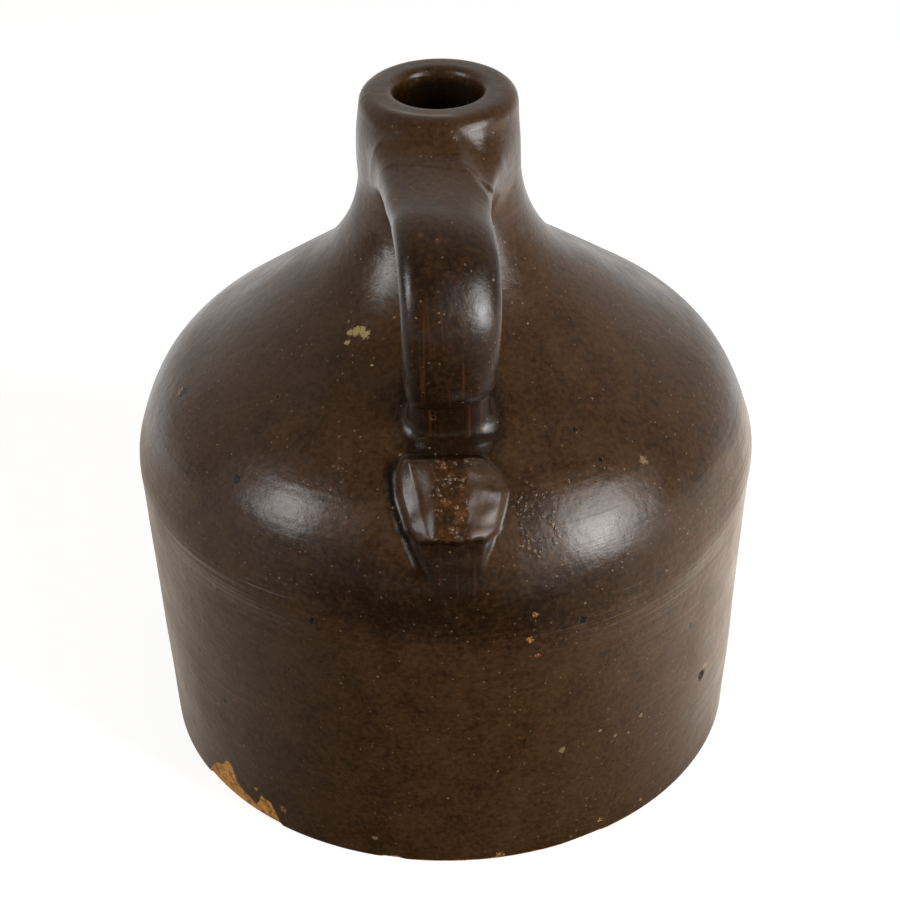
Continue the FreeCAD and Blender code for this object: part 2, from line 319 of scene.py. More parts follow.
def shell(name, points, looks):
    """A closed mesh from a grid of points, with a fan over each end row.

    Rows run from one pole to the other; the poles are the means of the end rows. Looks
    are named grids of numbers that the glaze reads, and they get the same two means.
    """
    rows, columns = points.shape[:2]
    poles = np.stack([points[0].mean(axis=0), points[-1].mean(axis=0)])
    vertices = np.concatenate([points.reshape(-1, 3), poles])
    first, last = rows * columns, rows * columns + 1
    column = np.arange(columns)
    onward = (column + 1) % columns
    start_fan = np.stack([np.full(columns, first), onward, column], axis=1)
    base = (rows - 1) * columns
    end_fan = np.stack([np.full(columns, last), base + column, base + onward], axis=1)
    quads = grid_faces(rows, columns)
    mesh = bpy.data.meshes.new(name)
    mesh.from_pydata(vertices, [], quads.tolist() + start_fan.tolist() + end_fan.tolist())
    mesh.polygons.foreach_set("use_smooth", np.ones(len(mesh.polygons), dtype=bool))
    for key, grid in looks.items():
        grid = np.broadcast_to(grid, (rows, columns))
        values = np.concatenate([grid.reshape(-1), [grid[0].mean(), grid[-1].mean()]])
        layer = mesh.attributes.new(key, "FLOAT", "POINT")
        layer.data.foreach_set("value", values.astype(np.float32))
    mesh.update()
    piece = bpy.data.objects.new(name, mesh)
    bpy.context.scene.collection.objects.link(piece)
    return piece


def grid_normals(points):
    """Normals of a grid closed across its columns: the step across times the step along."""
    across = np.roll(points, -1, axis=1) - np.roll(points, 1, axis=1)
    along = np.gradient(points, axis=0)
    normal = np.cross(across, along)
    return normal / np.maximum(np.linalg.norm(normal, axis=-1, keepdims=True), 1e-12)


# --- the thrown body ----------------------------------------------------------

def body_line(body):
    """The turned outline from the centre of the foot, over the lip, to the inside floor.

    Its corners are where the straight runs of foot, wall, dome, neck and bore cross, and
    the inner runs are the outer ones moved in by the wall's thickness.
    """
    wall_angle = math.pi / 2 - body.wall_lean
    dome_angle = math.pi - body.dome_slope
    foot = (body.foot_radius, 0.0)
    neck = (body.neck_radius + body.neck_length * math.tan(body.neck_lean),
            body.height - body.neck_length)
    wall_point = moved_left(foot, wall_angle, body.wall)
    dome_point = moved_left(neck, dome_angle, body.wall)
    corners = [
        (0.0, 0.0),
        foot,
        lines_cross(foot, wall_angle, neck, dome_angle),
        neck,
        (body.neck_radius, body.height),
        (body.bore_radius, body.height),
        lines_cross((body.bore_radius, 0.0), math.pi / 2, dome_point, dome_angle),
        lines_cross(wall_point, wall_angle, dome_point, dome_angle),
        lines_cross(wall_point, wall_angle, (0.0, body.floor), 0.0),
        (0.0, body.floor),
    ]
    rounds = [body.foot_round, body.shoulder_round, body.flare_round, body.lip_round,
              body.lip_inner_round, body.flare_round, body.shoulder_round - body.wall,
              body.floor_round]
    return rounded_line(corners, rounds)


def dome_height(body, radius):
    """Height of the dome's straight run: it falls from the neck by the slope's tangent."""
    neck = body.neck_radius + body.neck_length * math.tan(body.neck_lean)
    return body.height - body.neck_length - (radius - neck) * math.tan(body.dome_slope)


def tail_edges(down):
    """Left and right edge of the tail at a distance down from the landing, eased by places."""
    places = (0.004, 0.0143, 0.0200, 0.0254, 0.0353, 0.0385, 0.0470, 0.0540)
    left = (-0.0120, -0.0154, -0.0164, -0.0162, -0.0138, -0.0120, -0.0090, -0.0076)
    right = (0.0102, 0.0112, 0.0150, 0.0166, 0.0146, 0.0122, 0.0092, 0.0078)
    return through(places, left, down), through(places, right, down)


def tail_relief(tail, shoulder_round, across, down):
    """How far the pressed tail stands out of the body.

    The thumb marks fall from a rough ridge to the edges, the right one in a plain
    slope, the left one with a crease nearer its edge. Along, the ridge is straight: its
    height falls evenly and makes up for the rounding of the shoulder by the square of
    the distance past its start over twice its radius. It ends at a sharp step, below
    which a thin tongue runs out, and a roll of clay lies above it.
    """
    left, right = tail_edges(down)
    sway = 0.0006 * np.sin(down * 430) + 0.0004 * np.sin(down * 1130 + 1)
    inside = eased(np.minimum((across - left) / 0.0016, (right - across) / 0.0030))
    bent = np.clip(down - tail.shoulder, 0.0, tail.step - tail.shoulder)
    ridge = tail.rise - tail.fall * (down - tail.marks) + bent ** 2 / (2 * shoulder_round)
    right_share = np.clip((across + sway - tail.ridge_right) / (right - tail.ridge_right), 0.0, 1.0)
    crease = through((tail.marks, 0.0165, 0.0300, tail.step), (-0.0128, -0.0122, -0.0092, -0.0078),
                     down)
    to_crease = np.clip((crease - across) / (crease - left), 0.0, 1.0)
    to_ridge = np.clip((tail.ridge_left - across) / (tail.ridge_left - crease), 0.0, 1.0)
    fall = 0.26 * eased(0.15 + 0.85 * to_ridge) + 0.74 * to_crease
    slope = np.where(across > 0, 0.9 * right_share + 0.1 * right_share ** 2, fall)
    marks = tail.edge_rise + (ridge - tail.edge_rise) * (1 - slope)
    marks += 0.00022 * np.sin(across * 510 + 2.2 * np.sin(down * 190)) * np.sin(down * 330 + 0.6)
    step = tail.step - 0.0060 * eased((across - 0.0080) / 0.0080) + 0.0003 * (
        np.sin(across * 640 + 1.0) + 0.6 * np.sin(across * 1730))
    marks *= window(down, tail.marks - 0.0015, 0.0040, step, 0.0017)
    roll = tail.roll_rise * hump(down, tail.roll, 0.0046) * (
        1 + 0.10 * np.sin(3100 * down + 170 * across + 1.2 * np.sin(700 * across)))
    roll *= eased((0.0132 - np.abs(across - 0.0006)) / 0.0070)
    tongue = tail.tip_rise * window(down, tail.step - 0.004, 0.002, tail.step + 0.001,
                                    tail.tip - tail.step)
    groove = tail.groove * hump(across, left - 0.0016, 0.0026) * window(
        down, 0.014, 0.008, 0.044, 0.008)
    return np.maximum(np.maximum(marks, tongue) * inside, roll) - groove


def ridge_height(body, angles):
    """Height of the ridge below the shoulder: level behind, with a bell-shaped dip in front."""
    return body.ridge_up - body.ridge_dip * np.exp(-((angles - math.radians(12)) / 0.79) ** 2)


def chip_depth(angles, up):
    """How far a place lies inside the foot's chips, in metres below their upper edge."""
    degrees = np.degrees(angles)
    tops = [np.interp(degrees, at, top, left=-9, right=-9) for at, top in FOOT_CHIPS]
    return np.max(tops, axis=0) / 1000 - up


def patches(angles, up, places):
    """The largest of several bells over an angle and a height."""
    degrees, height = np.degrees(angles), up * 1000
    bells = [strength * hump(np.hypot((degrees - angle) / wide, (height - level) / tall), 0, 1)
             for angle, level, wide, tall, strength in places]
    return np.max(bells, axis=0)


def outline_rows(body, strap):
    """Rows of the body: its outline's place, radius, height and normal at each.

    Rows lie closest on the tail, the landing, the neck, the lip and the foot's edge.
    """
    line = body_line(body)
    run = run_along(line)
    mouth_row = np.argmax(line[:, 1] >= body.height - 1e-6)
    mouth_run = run[mouth_row]
    outside = line[:mouth_row + 1]
    landing_row = len(outside) - 1 - np.argmax(outside[::-1, 0] >= strap.landing_radius)
    landing_run = run[landing_row]
    landing_run += (line[landing_row, 0] - strap.landing_radius) / math.cos(body.dome_slope)

    def row_spacing(place):
        height = np.interp(place, run, line[:, 1])
        below = landing_run - place
        spacing = np.full_like(place, 0.0024)
        for there, gap in (((below > -0.014) & (below < 0.004), 0.0010),
                           ((below >= 0.004) & (below < 0.053), 0.00068),
                           (height > 0.178, 0.0010),
                           (np.abs(height - GLINT_PIT[1] / 1000) < 0.004, 0.0007),
                           (height < 0.018, 0.0010),
                           (place < body.foot_radius - 0.003, 0.013),
                           (place > mouth_run + 0.016, 0.0120)):
            spacing[there] = gap
        return spacing

    rows = spread(0.0, run[-1], row_spacing)
    nudge = 1e-4
    step_out, step_up = (np.interp(rows + nudge, run, part) - np.interp(rows - nudge, run, part)
                         for part in line.T)
    size = np.hypot(step_out, step_up)
    return (rows, np.interp(rows, run, line[:, 0]), np.interp(rows, run, line[:, 1]),
            step_up / size, -step_out / size, mouth_run, landing_run)


def body_columns():
    """Angles of the body's columns, closest in front, at the chips and at the deep pit."""
    def column_spacing(angle):
        degrees = np.degrees(angle)
        spacing = np.full_like(angle, 1.6)
        spacing[np.abs(degrees) < 17] = 0.32
        spacing[(degrees > -61) & (degrees < -35)] = 0.6
        spacing[np.abs(degrees - GLINT_PIT[0]) < 3] = 0.4
        return np.radians(spacing)
    return spread(-math.pi, math.pi, column_spacing)[:-1]


def body_points(body, strap, tail, seed):
    """The body's grid of points and what its glaze looks like at each.

    A row is a ring at one place of the outline and a column is an angle from -Y towards
    +X. Each point is moved along the outline's normal by wobble, ridge, tail and chips.
    """
    rows, radius, height, normal_out, normal_up, mouth_run, landing_run = outline_rows(body, strap)
    angles, places = np.meshgrid(body_columns(), rows)
    rad, up = radius[:, None], height[:, None]
    across = rad * np.sin(angles)
    down = landing_run - places
    outside = places < mouth_run
    on_wall = outside & (places > body.foot_radius - 0.002)

    random = np.random.default_rng(seed)
    wobble = np.zeros_like(angles)
    for waves in (2, 3, 5):
        phase = random.uniform(0, 2 * math.pi, 2)
        wobble += np.cos(waves * angles + phase[0] + 9 * up / body.height * (waves - 1)
                         + phase[1]) / waves
    outside_share = eased((mouth_run - 0.004 - places) / 0.02) * eased((places - 0.1) / 0.02)
    relief = body.wobble * wobble * outside_share
    crest = ridge_height(body, angles)
    relief += body.ridge * (hump(up, crest, 0.0075) - 0.7 * hump(up, crest + 0.013, 0.011)
                            ) * outside_share
    in_front = (np.abs(angles) < math.pi / 2) & outside
    relief += np.where(in_front & (down > 0), tail_relief(
        tail, body.shoulder_round, across, down), 0.0)
    chip = np.where(on_wall, chip_depth(angles, up), -0.01)
    relief -= 0.0005 * eased((chip + 0.0006) / 0.0030)
    pit_angle, pit_up, pit_radius, pit_depth = GLINT_PIT
    from_pit = np.hypot(rad * (angles - math.radians(pit_angle)), up - pit_up / 1000)
    relief -= np.where(on_wall, pit_depth / 1000 * hump(from_pit, 0, pit_radius / 1000), 0.0)

    left, right = tail_edges(down)
    on_marks = in_front * window(down, tail.marks, 0.003, tail.step, 0.001)
    on_tail = in_front * eased(np.minimum(across - left, right - across) / 0.002)
    sway = 0.0007 * np.sin(down * 430) + 0.0005 * np.sin(down * 1130 + 1)
    rough_ridge = on_marks * window(across - sway, tail.ridge_left - 0.001, 0.002,
                                    tail.ridge_right - 0.001, 0.002)
    below_step = on_tail * window(down, tail.step - 0.001, 0.002, tail.tip, 0.008)
    above_marks = on_tail * window(down, 0.010, 0.002, tail.marks - 0.001, 0.002)
    groove = in_front * hump(across, left - 0.0018, 0.0032) * window(
        down, 0.012, 0.006, 0.044, 0.008)
    # painted dark reflection: a dark band in front, below the ridge
    painted_reflection_band = hump(up, crest + 0.017, 0.020) * np.exp(-(angles / 0.62) ** 2) * outside
    along_foot = window(np.degrees(angles), -20, 4, 36, 4)
    foot_line = (0.0012 - up) / 0.002 - 3 * (1 - along_foot)
    looks = {
        # painted shade: darker in the groove beside the tail, on the tongue under the step, at the
        # roll under the loop and inside the mouth, plus the painted dark reflection band in front
        "thick": np.clip(0.9 * painted_reflection_band + below_step + above_marks + groove
                         + eased((places - mouth_run - 0.006) / 0.006), 0.0, 1.0),
        "grit": np.where(on_wall, np.maximum(patches(angles, up, GRIT_PLACES), rough_ridge), 0.0),
        "bare": np.where(on_wall, np.clip(0.5 + np.maximum(chip / 0.0030, foot_line), 0.0, 1.0),
                         0.0),
        "rusty": np.clip(0.75 * rough_ridge + 0.14 * below_step, 0.0, 1.0),
        "streak": np.clip(0.5 * below_step + 0.3 * above_marks, 0.0, 1.0),
        "pale": on_marks * on_tail * (1 - rough_ridge) * eased((across + 0.012) / 0.001),
    }
    rad = rad + relief * normal_out[:, None]
    up = up + relief * normal_up[:, None]
    return np.stack([rad * np.sin(angles), -rad * np.cos(angles), up], axis=-1), looks


# --- the strap ----------------------------------------------------------------

def strap_line(body, strap, count):
    """The strap's middle line as (out, up), its facing angle, run and whole length.

    It leaves the neck level, turns down round the loop, back through the ankle and goes
    straight down into the wall. Out and up follow the cosine and sine of the facing
    angle about each bend's centre.
    """
    level = body.height - strap.drop
    loop_out = strap.reach - strap.thickness / 2 - strap.loop_radius
    loop_up = level - strap.loop_radius
    ankle_out = strap.landing_radius + strap.ankle_radius
    between = strap.loop_radius + strap.ankle_radius
    ankle_up = loop_up - math.sqrt(between ** 2 - (ankle_out - loop_out) ** 2)
    turning = math.atan2(loop_up - ankle_up, ankle_out - loop_out)
    level_run = loop_out - strap.root_start
    loop_end = level_run + strap.loop_radius * (math.pi / 2 + turning)
    ankle_end = loop_end + strap.ankle_radius * turning
    end_up = dome_height(body, strap.landing_radius + strap.thickness / 2) - 0.004
    whole = ankle_end + ankle_up - end_up
    run = np.linspace(0, whole, count)
    loop_angle = math.pi / 2 - (run - level_run) / strap.loop_radius
    ankle_angle = (run - loop_end) / strap.ankle_radius - turning
    stretch = [run <= level_run, run <= loop_end, run <= ankle_end]
    out = np.select(stretch, [strap.root_start + run,
                              loop_out + strap.loop_radius * np.cos(loop_angle),
                              ankle_out - strap.ankle_radius * np.cos(ankle_angle)],
                    strap.landing_radius)
    up = np.select(stretch, [np.full(count, level),
                             loop_up + strap.loop_radius * np.sin(loop_angle),
                             ankle_up - strap.ankle_radius * np.sin(ankle_angle)],
                   ankle_up - (run - ankle_end))
    facing = np.select(stretch, [np.full(count, math.pi / 2), loop_angle, ankle_angle], 0.0)
    return out, up, facing, run, level_run, whole


def strap_sections(body, strap, count):
    """Middle line, half sides, squareness, turn and side shift of each section.

    The section's sides grow towards the root by the square of what is left of the
    flare, and shrink towards the landing by the square of the distance; its face is
    turned most at half length.
    """
    out, up, facing, run, level_run, whole = strap_line(body, strap, count)
    start = 0.022 - strap.root_start
    flare = np.clip(1 - np.maximum(run, start) / strap.root_flare, 0, 1) ** 2
    narrowing = np.clip((run - level_run) / (whole - level_run), 0, 1) ** 2
    landing = eased((run - whole + 0.016) / 0.010)
    width = (strap.width + (strap.root_width - strap.width) * flare
             - (strap.width - strap.end_width) * narrowing + 0.0015 * landing)
    thickness = (strap.thickness + (strap.root_thickness - strap.thickness) * flare
                 - (strap.thickness - strap.end_thickness) * narrowing)
    squareness = strap.squareness + (strap.root_squareness - strap.squareness) * flare
    at = strap.root_start + run
    side = strap.root_shift * through((0.0, 0.045, 0.059, 0.070, 0.083, 0.110, 0.150),
                                      (-1.0, -1.0, -0.36, 0.08, 0.30, 0.0, 0.0), at)
    turn = strap.turn * np.sin(math.pi * run / whole)
    return {"out": out, "up": up + strap.root_lift * flare, "facing": facing, "run": run,
            "half_width": width / 2, "half_thickness": thickness / 2,
            "squareness": squareness, "side": side, "turn": turn}


def thumb_dent(strap, reach, across):
    """How far the thumb has pressed down the root's upper face on its right side.

    It is deepest towards the neck, right of a crest that runs from the root's middle
    out to the strap's edge.
    """
    crest = through((0.022, 0.030, 0.038, 0.044, 0.052), (0.000, 0.003, 0.0076, 0.0144, 0.0170),
                    reach)
    return strap.dent * eased((across - crest) / 0.010) * (1 - eased((reach - 0.034) / 0.016))


def strap_points(body, strap, sections):
    """The strap's grid of points: a superellipse carried along its middle line.

    Points inside the bore are moved out to a cylinder within the wall of the neck.
    """
    around = np.linspace(0, 2 * math.pi, STRAP_COLUMNS, endpoint=False)[None, :]
    power = (2 / sections["squareness"])[:, None]
    u = np.sign(np.cos(around)) * np.abs(np.cos(around)) ** power * sections["half_width"][:, None]
    v = np.sign(np.sin(around)) * np.abs(np.sin(around)) ** power
    top = np.clip(v, 0, 1)
    v = v * sections["half_thickness"][:, None]
    v = v - top * thumb_dent(strap, sections["out"][:, None], u + sections["side"][:, None])
    cos, sin = np.cos(sections["turn"])[:, None], np.sin(sections["turn"])[:, None]
    across, outward = u * cos + v * sin, v * cos - u * sin
    facing = sections["facing"][:, None]
    x = sections["side"][:, None] + across
    y = -(sections["out"][:, None] + outward * np.cos(facing))
    z = sections["up"][:, None] + outward * np.sin(facing)
    least = body.bore_radius + 0.0022
    push = np.maximum(1.0, least / np.maximum(np.hypot(x, y), 1e-6))
    return np.stack([x * push, y * push, z], axis=-1)


# --- where strap and body flow together -----------------------------------------

def body_distance(line, points):
    """Distance from points to the turned outline, positive outside.

    Each point's nearest place on the line of (radius, height) is found on every straight
    run of it; the sign is the side of that run that the point lies on.
    """
    flat = np.stack([np.hypot(points[:, 0], points[:, 1]), points[:, 2]], axis=1)
    start, edge = line[:-1], np.diff(line, axis=0)
    square = (edge ** 2).sum(axis=1)
    found = []
    for part in np.array_split(flat, max(len(flat) // 2000, 1)):     # keeps the arrays small
        offset = part[:, None, :] - start[None]
        share = np.clip((offset * edge).sum(axis=2) / square, 0.0, 1.0)
        gap = offset - share[..., None] * edge
        length_square = (gap ** 2).sum(axis=2)
        nearest = length_square.argmin(axis=1)
        row = np.arange(len(part))
        gap, run = gap[row, nearest], edge[nearest]
        side = gap[:, 0] * run[:, 1] - gap[:, 1] * run[:, 0]
        found.append(np.sign(side) * np.sqrt(length_square[row, nearest]))
    return np.concatenate(found)


def strap_distance(strap, sections, points):
    """Distance from points to the strap, positive outside.

    A point is taken to the section whose middle is nearest. There the superellipse's
    own measure, less one, over its slope gives the distance to first order.
    """
    middle = np.stack([sections["out"], sections["up"]], axis=1)
    flat = np.stack([-points[:, 1], points[:, 2]], axis=1)
    nearest = np.concatenate([
        ((part[:, None, :] - middle[None]) ** 2).sum(axis=2).argmin(axis=1)
        for part in np.array_split(flat, max(len(flat) // 4000, 1))])
    at = {key: value[nearest] for key, value in sections.items()}
    offset = flat - middle[nearest]
    outward = offset[:, 0] * np.cos(at["facing"]) + offset[:, 1] * np.sin(at["facing"])
    across = points[:, 0] - at["side"]
    u = across * np.cos(at["turn"]) - outward * np.sin(at["turn"])
    v = across * np.sin(at["turn"]) + outward * np.cos(at["turn"])
    v = v + np.clip(v / at["half_thickness"], 0, 1) * thumb_dent(strap, at["out"], u + at["side"])
    power = at["squareness"]
    p, q = np.abs(u) / at["half_width"], np.abs(v) / at["half_thickness"]
    measure = np.maximum((p ** power + q ** power) ** (1 / power), 1e-3)
    slope = measure ** (1 - power) * np.hypot(p ** (power - 1) / at["half_width"],
                                              q ** (power - 1) / at["half_thickness"])
    return (measure - 1) / np.maximum(slope, 1.0)


def outside_line(body):
    """The turned outline from the foot to the flat of the lip."""
    line = body_line(body)
    return line[:np.argmax(line[:, 1] >= body.height - 1e-6) + 2]


def to_body(body):
    """The distance to the body's outside as a function of points."""
    outside = outside_line(body)
    return lambda points: body_distance(outside, points)


def to_strap(body, strap):
    """The distance to the strap as a function of points."""
    sections = strap_sections(body, strap, MEASURED_ROWS)
    return lambda points: strap_distance(strap, sections, points)


def flowed(points, reach_of_blend, own, other):
    """Points of a grid moved out so that its surface flows into another.

    With a and b the distances to the two surfaces and k the reach of the fillet, the
    joint surface lies where min(a, b) = k / 4 (1 - |a - b| / k)^2. Each point near the
    other surface is carried out along its normal until it lies there, and past the seam
    it sinks back by the square of a - b.
    """
    deepest, furthest, sink, rounds = 0.005, 0.007, 70, 9
    normals = grid_normals(points).reshape(-1, 3)
    result = points.reshape(-1, 3).copy()
    reach = reach_of_blend.reshape(-1)
    near = np.flatnonzero(reach > 1e-5)
    gap = other(result[near])
    near = near[(gap > -deepest) & (gap < 1.2 * reach[near])]
    start, normal, reach = result[near], normals[near], reach[near]
    moved = np.zeros(len(near))
    for _ in range(rounds):
        place = start + normal * moved[:, None]
        a, b = own(place), other(place)
        fillet = np.clip(1 - np.abs(a - b) / reach, 0, 1) ** 2 * reach / 4
        moved = np.maximum(moved - (np.minimum(a, b) - fillet), 0.0)
    moved = np.clip(moved - sink * np.maximum(a - b, 0.0) ** 2, 0.0, furthest)
    result[near] = start + normal * moved[:, None]
    return result.reshape(points.shape)


def blend_reach(strap, points):
    """Reach of the fillet at a place: the neck's near the axis, the landing's further out.

    It is zero inside the bore, behind the axis and below the dome's upper part.
    """
    out = -points[..., 1]
    near_neck = strap.neck_blend * (1 - eased((out - 0.040) / 0.008))
    near_landing = strap.landing_blend * window(out, 0.044, 0.006, 0.080, 0.004)
    near_neck = near_neck * eased((np.hypot(points[..., 0], out) - 0.0185) / 0.003)
    there = (points[..., 2] > 0.140) & (out > 0.002)
    return np.where(there, near_neck + near_landing, 0.0)


# --- materials ----------------------------------------------------------------

class Nodes:
    """Adds nodes to a material or world and links what it is given."""

    def __init__(self, owner):
        self.owner = owner
        owner.use_nodes = True
        self.tree = owner.node_tree
        self.tree.nodes.clear()

    def add(self, kind, inputs=None, **settings):
        """A node of a kind, its settings, and its inputs by name or number."""
        node = self.tree.nodes.new(kind)
        for key, value in settings.items():
            setattr(node, key, value)
        for key, value in (inputs or {}).items():
            if isinstance(value, bpy.types.NodeSocket):
                self.tree.links.new(value, node.inputs[key])
            else:
                node.inputs[key].default_value = value
        return node

    def led_out(self, shader, output="ShaderNodeOutputMaterial"):
        """The material or world, with a shader led to its output."""
        self.add(output, {"Surface": shader.outputs[0]})
        return self.owner

    def math(self, operation, first, second=0.0):
        """The result of a Math node."""
        return self.add("ShaderNodeMath", {0: first, 1: second}, operation=operation).outputs[0]

    def noise(self, vector, scale, detail=2.0, roughness=0.5):
        """The value of a noise around 0.5, at a scale per metre."""
        return self.add("ShaderNodeTexNoise", {"Vector": vector, "Scale": scale, "Detail": detail,
                                               "Roughness": roughness}).outputs["Fac"]

    def look(self, name):
        """A number that the mesh carries at each of its points."""
        return self.add("ShaderNodeAttribute", attribute_name=name).outputs["Fac"]

    def times(self, *factors):
        """The product of several values."""
        product = factors[0]
        for factor in factors[1:]:
            product = self.math("MULTIPLY", product, factor)
        return product

    def total(self, *parts):
        """The sum of several values."""
        result = parts[0]
        for part in parts[1:]:
            result = self.math("ADD", result, part)
        return result

    def spots(self, vector, centres, ragged):
        """One near any of several centres, each with a radius, and zero beyond.

        The mask is the largest of the smooth steps of distance over radius, and ragged
        moves the edge in and out.
        """
        mask = 0.0
        for centre, radius in centres:
            distance = self.add("ShaderNodeVectorMath", {0: vector, 1: centre},
                                operation="DISTANCE").outputs["Value"]
            share = self.math("ADD", self.math("DIVIDE", distance, radius), ragged)
            mask = self.math("MAXIMUM", self.ramp(share, 1.15, 0.75), mask)
        return mask

    def ramp(self, value, low, high, from_value=0.0, to_value=1.0):
        """A smooth step of a value from low to high."""
        return self.add("ShaderNodeMapRange", {
            "Value": value, "From Min": low, "From Max": high, "To Min": from_value,
            "To Max": to_value}, interpolation_type="SMOOTHSTEP").outputs["Result"]

    def blend(self, share, first, second):
        """Two colours mixed by a share."""
        return self.add("ShaderNodeMix", {"Factor": share, 6: first, 7: second},
                        data_type="RGBA").outputs[2]

    def over(self, base, colour, *shares):
        """A base with a colour laid over it by the product of several shares."""
        return self.blend(self.times(*shares), base, rgba(colour))

    def around_zero(self, vector, scale, detail, roughness, size):
        """A noise less one half, times a size."""
        return self.times(self.math("SUBTRACT", self.noise(vector, scale, detail, roughness), 0.5),
                          size)

    def stretched(self, vector, scale):
        """Coordinates scaled by a different amount along each axis."""
        return self.add("ShaderNodeVectorMath", {0: vector, 1: scale},
                        operation="MULTIPLY").outputs[0]


def rgba(value):
    """A colour with its alpha."""
    return (*value, 1.0)


def on_wall(body, angle, height):
    """The place on the body's outside at an angle in degrees and a height in millimetres."""
    outside = outside_line(body)[:-2]
    outside = outside[outside[:, 1] > 0]
    radius = np.interp(height / 1000, outside[:, 1], outside[:, 0])
    around = math.radians(angle)
    return (radius * math.sin(around), -radius * math.cos(around), height / 1000)


def glaze_material(glaze, body):
    """Dark brown glaze with mottling, painted shade, sand, pits, streaks, chips and single marks.
    """
    nodes = Nodes(bpy.data.materials.new("jug glaze"))
    times, total, ramp, noise, over = nodes.times, nodes.total, nodes.ramp, nodes.noise, nodes.over
    place = nodes.add("ShaderNodeTexCoord").outputs["Object"]
    thick, grit, bare, rusty, streaky, pale, thrown = (
        nodes.look(name) for name in ("thick", "grit", "bare", "rusty", "streak", "pale", "thrown"))

    def grains(vector, scale, channel):
        """Distance to the nearest seed of a pattern, and the cell's random number."""
        cell = nodes.add("ShaderNodeTexVoronoi", {"Vector": vector, "Scale": scale})
        picked = nodes.add("ShaderNodeSeparateColor", {"Color": cell.outputs["Color"]})
        return cell.outputs["Distance"], picked.outputs[channel]

    grain = noise(place, 620.0, 2.0, 0.6)
    # tone: random mottling, made darker where shade and a dark reflection are painted
    tone = total(times(noise(place, 11.0, 3.0), 0.16), times(noise(place, 85.0, 4.0, 0.62), 0.34),
                 times(grain, 0.50), times(thick, -0.26))
    base = nodes.blend(ramp(tone, 0.20, 0.72), rgba(glaze.dark), rgba(glaze.warm))

    # thin reddish lines that run down the strap and the tail, and a reddish crumb
    lined = nodes.stretched(place, (620.0, 26.0, 26.0))
    base = over(base, glaze.rust, ramp(noise(lined, 1.0, 2.0), 0.56, 0.74), streaky, 0.40)
    crumbs = total(noise(place, 240.0, 3.0, 0.65), times(rusty, 0.30))
    base = over(base, glaze.rust, ramp(crumbs, 0.66, 0.86), ramp(rusty, 0.0, 0.3), 0.62)

    # sand: fine everywhere, coarser and sparser on top
    fine_far, fine_cell = grains(place, 640.0, 0)
    fine = times(ramp(fine_far, 0.26, 0.10),
                 ramp(total(fine_cell, times(grit, 0.25)), 0.86, 0.93))
    base = over(base, glaze.sand, fine, 0.50)
    coarse_far, coarse_cell = grains(place, 250.0, 1)
    coarse = times(ramp(coarse_far, 0.15, 0.06), ramp(coarse_cell, 0.90, 0.94))
    base = over(base, glaze.sand, coarse, 0.65)

    # pits: a dark hole in a rusty halo
    pit_far, pit_cell = grains(place, 150.0, 2)
    picked = ramp(pit_cell, 0.925, 0.945)
    pit = times(ramp(pit_far, 0.11, 0.05), picked)
    halo = times(ramp(pit_far, 0.19, 0.09), picked)

    # crust: crowded little blisters of uneven outline
    jitter = nodes.add("ShaderNodeTexNoise", {"Vector": place, "Scale": 700.0}).outputs["Color"]
    frayed = nodes.add("ShaderNodeVectorMath", {
        0: place, 1: nodes.stretched(jitter, (0.0016, 0.0016, 0.0016))}, operation="ADD").outputs[0]
    blister_far, blister_cell = grains(frayed, 620.0, 0)
    crust = ramp(total(grit, nodes.around_zero(place, 230.0, 2.0, 0.5, 1.1)), 0.15, 0.75)
    blister = times(ramp(blister_far, 0.55, 0.10), ramp(blister_cell, 0.25, 0.60), crust)
    base = over(base, glaze.sand, blister, ramp(blister_cell, 0.60, 0.9), 0.40)
    base = over(base, CRUST_SHADE, crust, ramp(blister_far, 0.35, 0.60), 0.5)

    # single marks
    ragged = nodes.around_zero(place, 900.0, 3.0, 0.6, 2.2)
    marks = {kind: nodes.spots(place, [(on_wall(body, angle, height), radius / 1000)
                                       for angle, height, radius in spots], ragged)
             for kind, spots in SPOTS.items()}
    hole = nodes.math("MAXIMUM", pit, marks["pit"])
    base = over(base, glaze.rust, halo, 0.5)
    flecks = ramp(noise(place, 1400.0, 2.0), 0.46, 0.60)
    ember = nodes.blend(flecks, rgba(glaze.rust), rgba([0.8 * part for part in glaze.clay]))
    base = nodes.blend(times(marks["rust"], 0.8), base, ember)
    base = over(base, glaze.sand, marks["sand"], 0.75)
    base = over(base, glaze.scuff, marks["scuff"], 0.85)
    base = over(base, HOLE_SHADE, hole)

    # bare clay where the foot is chipped
    crumb = noise(place, 420.0, 4.0, 0.7)
    edge = total(bare, times(nodes.math("SUBTRACT", crumb, 0.5), 0.95))
    clay = ramp(edge, 0.47, 0.55)
    clay_tone = nodes.blend(ramp(noise(place, 300.0, 5.0, 0.75), 0.36, 0.58),
                            rgba([0.35 * part for part in glaze.clay]), rgba(glaze.clay))
    base = over(base, glaze.rust, ramp(edge, 0.36, 0.46), 0.45)
    base = nodes.blend(clay, base, clay_tone)

    # relief, in metres
    rings = noise(nodes.stretched(place, (8.0, 8.0, 190.0)), 1.0, 2.0)
    lines = noise(nodes.stretched(place, (11.0, 11.0, 620.0)), 1.0, 2.0)
    raised = total(*(times(*part) for part in (
        (noise(place, 300.0, 2.0), glaze.peel), (noise(place, 48.0, 2.0), 0.00045),
        (grain, 0.00006), (rings, ramp(noise(place, 17.0, 1.0), 0.35, 0.75), thrown, 0.00065),
        (lines, thrown, 0.00016), (fine, 0.00006), (coarse, 0.00014), (blister, 0.00032),
        (marks["sand"], 0.0003), (marks["scuff"], 0.0005), (marks["rust"], 0.0003),
        (hole, -0.0006), (crumb, clay, 0.0007), (clay, -0.0004))))
    bump = nodes.add("ShaderNodeBump", {"Strength": 1.0, "Distance": 1.0, "Height": raised})

